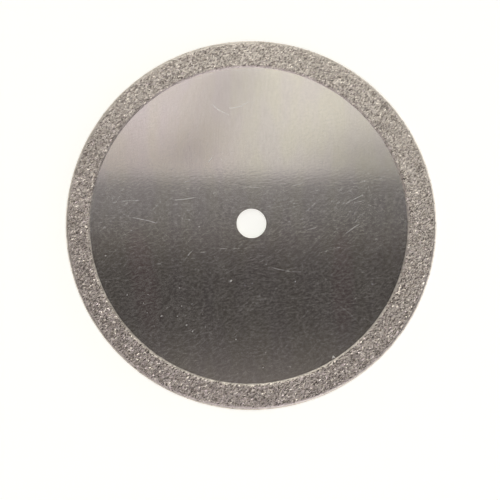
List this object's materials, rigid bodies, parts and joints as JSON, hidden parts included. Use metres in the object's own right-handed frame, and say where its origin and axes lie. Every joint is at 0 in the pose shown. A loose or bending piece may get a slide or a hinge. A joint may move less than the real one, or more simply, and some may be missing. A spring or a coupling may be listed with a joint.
{
  "type": "diamond cutting disc",
  "caption": "Thin round steel disc with a small central arbor hole and a raised rim band of diamond grit in electroplated nickel, for cutting with a small rotary tool.",
  "frame": {"origin": "centre of the arbor bore, halfway through the steel", "axes": "+Z along the bore axis, towards the face that shows; X and Y in the plane of the disc"},
  "size_m": [0.025, 0.025, 0.0006],
  "materials": {
    "ground_steel": "bright ground sheet steel with fine hairlines and light scratches",
    "diamond_grit": "coarse sparkling grit half sunk in grey electroplated nickel"
  },
  "bodies": {
    "root": {"steel_core": "ground_steel", "diamond_rim": "diamond_grit"}
  },
  "joints": []
}
